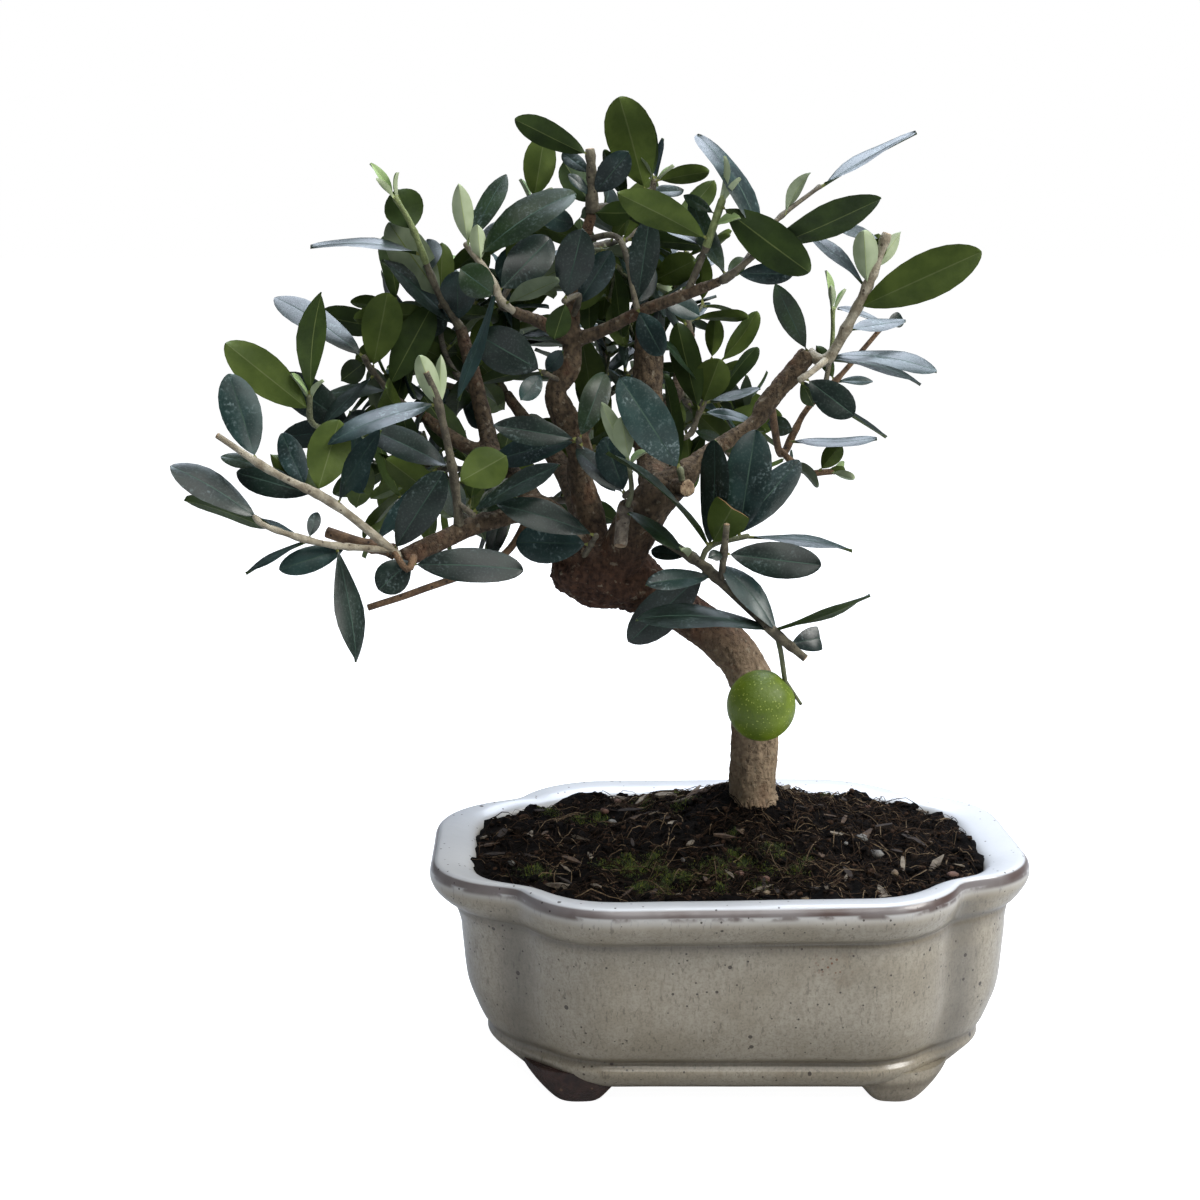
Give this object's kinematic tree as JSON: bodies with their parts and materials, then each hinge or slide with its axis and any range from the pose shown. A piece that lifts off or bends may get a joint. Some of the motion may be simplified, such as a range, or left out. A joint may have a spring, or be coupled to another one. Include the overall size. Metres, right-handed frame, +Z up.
{
  "type": "olive bonsai tree",
  "caption": "Small olive bonsai with a leaning tapered trunk, spreading leafy crown and one hanging green fruit, standing in a lobed oval glazed pot filled with soil.",
  "frame": {"origin": "centre of the bounding box in plan, on the ground under the pot's feet", "axes": "+Z up, +X to the viewer's right along the pot's length, -Y towards the viewer"},
  "size_m": [0.2014, 0.13, 0.2371],
  "materials": {
    "cream_glaze": "gloss",
    "dark_soil": "matte",
    "bark": "matte",
    "olive_foliage": "matte"
  },
  "bodies": {
    "root": {"arm_left": "bark", "arm_right": "bark", "bough_back_left": "bark", "bough_back_right": "bark", "bough_centre": "bark", "bough_left": "bark", "bough_left_back": "bark", "bough_left_rear": "bark", "bough_rear": "bark", "bough_right": "bark", "foliage_back_far_right": "olive_foliage", "foliage_back_left": "olive_foliage", "foliage_back_low": "olive_foliage", "foliage_back_mid": "olive_foliage", "foliage_back_right": "olive_foliage", "foliage_back_top": "olive_foliage", "foliage_far_left": "olive_foliage", "foliage_front": "olive_foliage", "foliage_front_dark": "olive_foliage", "foliage_front_left": "olive_foliage", "foliage_front_right": "olive_foliage", "foliage_inner": "olive_foliage", "foliage_inner_left": "olive_foliage", "foliage_left_mid": "olive_foliage", "foliage_left_tip": "olive_foliage", "foliage_left_under": "olive_foliage", "foliage_left_upright": "olive_foliage", "foliage_lower_right": "olive_foliage", "foliage_rear_low": "olive_foliage", "foliage_rear_mid": "olive_foliage", "foliage_right": "olive_foliage", "foliage_right_back": "olive_foliage", "foliage_right_back_high": "olive_foliage", "foliage_right_back_mid": "olive_foliage", "foliage_top": "olive_foliage", "foliage_top_left": "olive_foliage", "foliage_top_middle": "olive_foliage", "foliage_top_right": "olive_foliage", "foliage_upper_left": "olive_foliage", "pot": "cream_glaze", "soil": "dark_soil", "stub_cut": "bark", "stub_grey": "bark", "trunk": "bark"}
  },
  "joints": []
}
